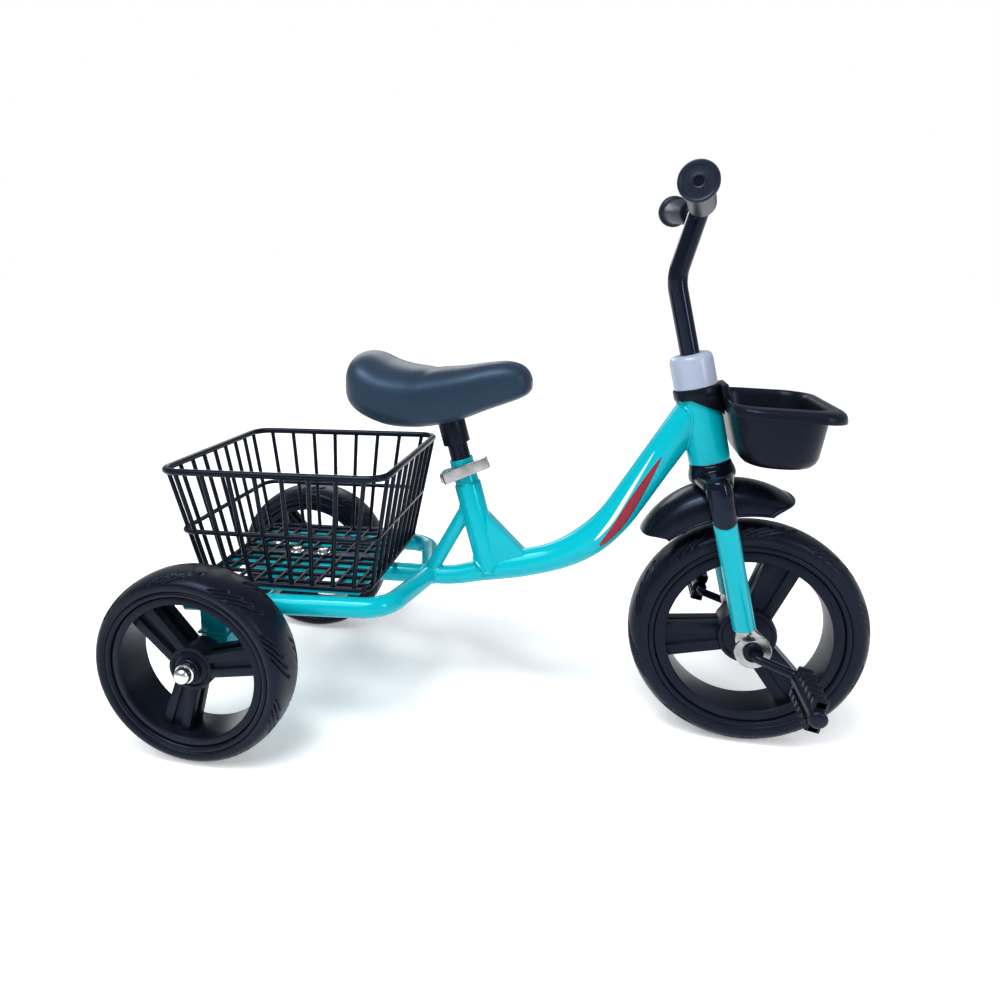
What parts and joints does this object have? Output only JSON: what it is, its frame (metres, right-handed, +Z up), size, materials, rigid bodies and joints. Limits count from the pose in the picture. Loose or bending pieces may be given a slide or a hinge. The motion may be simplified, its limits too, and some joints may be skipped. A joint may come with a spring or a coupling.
{
  "type": "children's pedal tricycle",
  "caption": "Steel-framed children's tricycle with front-wheel pedals, a saddle, a rear wire basket, a small front tub and a swept handlebar.",
  "frame": {"origin": "on the ground, midway along the length and on the centre plane", "axes": "+X forward, +Y to the rider's left, +Z up"},
  "size_m": [0.7838, 0.3768, 0.5889],
  "materials": {
    "teal_paint": "gloss powder coat",
    "black_gloss_paint": "gloss paint",
    "black_plastic": "satin moulded plastic",
    "lilac_plastic": "satin moulded plastic",
    "seat_skin": "smooth foamed skin",
    "tyre_foam": "matt foam rubber",
    "grip_rubber": "matt rubber",
    "basket_coating": "satin plastic-dipped wire",
    "chrome": "bright plating",
    "zinc_steel": "zinc plating"
  },
  "bodies": {
    "chassis": {"frame": "teal_paint", "rear_deck": "teal_paint", "rear_axle": "zinc_steel", "axle_nut_left": "chrome", "axle_nut_right": "chrome", "rear_spacer_left": "chrome", "rear_spacer_right": "chrome", "rear_basket_floor": "basket_coating", "rear_basket_left": "basket_coating", "rear_basket_right": "basket_coating", "rear_basket_front": "basket_coating", "rear_basket_back": "basket_coating", "basket_bolt_1": "chrome", "basket_bolt_2": "chrome", "front_basket": "black_plastic", "lower_head_bearing": "zinc_steel", "upper_head_bearing": "zinc_steel", "clamp_bolt": "chrome", "clamp_nut": "chrome"},
    "quick_release": {"quick_release_lever": "chrome"},
    "saddle": {"seat": "seat_skin", "seat_pan": "black_plastic", "seat_post": "black_gloss_paint"},
    "rear_wheel_left": {"rear_tyre_left": "tyre_foam", "rear_rim_left": "black_plastic"},
    "rear_wheel_right": {"rear_tyre_right": "tyre_foam", "rear_rim_right": "black_plastic"},
    "steering": {"fork_crown": "black_plastic", "fork_leg_left": "teal_paint", "fork_leg_right": "teal_paint", "dropout_left": "chrome", "dropout_right": "chrome", "axle_bush_left": "black_plastic", "axle_bush_right": "black_plastic", "steerer_tube": "zinc_steel", "steering_lock_nut": "zinc_steel", "steering_cap": "lilac_plastic", "fender": "black_plastic", "fender_bolt": "zinc_steel", "handlebar": "black_gloss_paint", "grip_left": "grip_rubber", "grip_right": "grip_rubber"},
    "front_wheel": {"front_tyre": "tyre_foam", "front_rim": "black_plastic", "crank_axle": "black_gloss_paint", "front_spacer_left": "chrome", "front_spacer_right": "chrome"},
    "left_pedal": {"pedal_left": "black_plastic", "pedal_cap_left": "black_plastic"},
    "right_pedal": {"pedal_right": "black_plastic", "pedal_cap_right": "black_plastic"}
  },
  "joints": [
    {"name": "steering_turn", "type": "hinge", "parent": "chassis", "child": "steering", "pos_m": [0.26304, 0, 0.12396], "axis": [-0.2588, 0, 0.9659], "range_deg": [-45, 45]},
    {"name": "front_wheel_spin", "type": "hinge", "parent": "steering", "child": "front_wheel", "pos_m": [0.2669, 0, 0.125], "axis": [0, 1, 0], "continuous": true},
    {"name": "left_pedal_spin", "type": "hinge", "parent": "front_wheel", "child": "left_pedal", "pos_m": [0.22793, 0.1145, 0.134], "axis": [0, 1, 0], "continuous": true},
    {"name": "right_pedal_spin", "type": "hinge", "parent": "front_wheel", "child": "right_pedal", "pos_m": [0.30587, -0.1145, 0.116], "axis": [0, 1, 0], "continuous": true},
    {"name": "left_rear_wheel_spin", "type": "hinge", "parent": "chassis", "child": "rear_wheel_left", "pos_m": [-0.2895, 0.1558, 0.1024], "axis": [0, 1, 0], "continuous": true},
    {"name": "right_rear_wheel_spin", "type": "hinge", "parent": "chassis", "child": "rear_wheel_right", "pos_m": [-0.2895, -0.1558, 0.1024], "axis": [0, 1, 0], "continuous": true},
    {"name": "seat_height", "type": "slide", "parent": "chassis", "child": "saddle", "axis": [-0.2756, 0, 0.9613], "range_m": [-0.015, 0.045]},
    {"name": "quick_release_swing", "type": "hinge", "parent": "chassis", "child": "quick_release", "pos_m": [-0.06642, -0.0171, 0.27538], "axis": [-0.2756, 0, 0.9613], "range_deg": [-150, 0]}
  ]
}
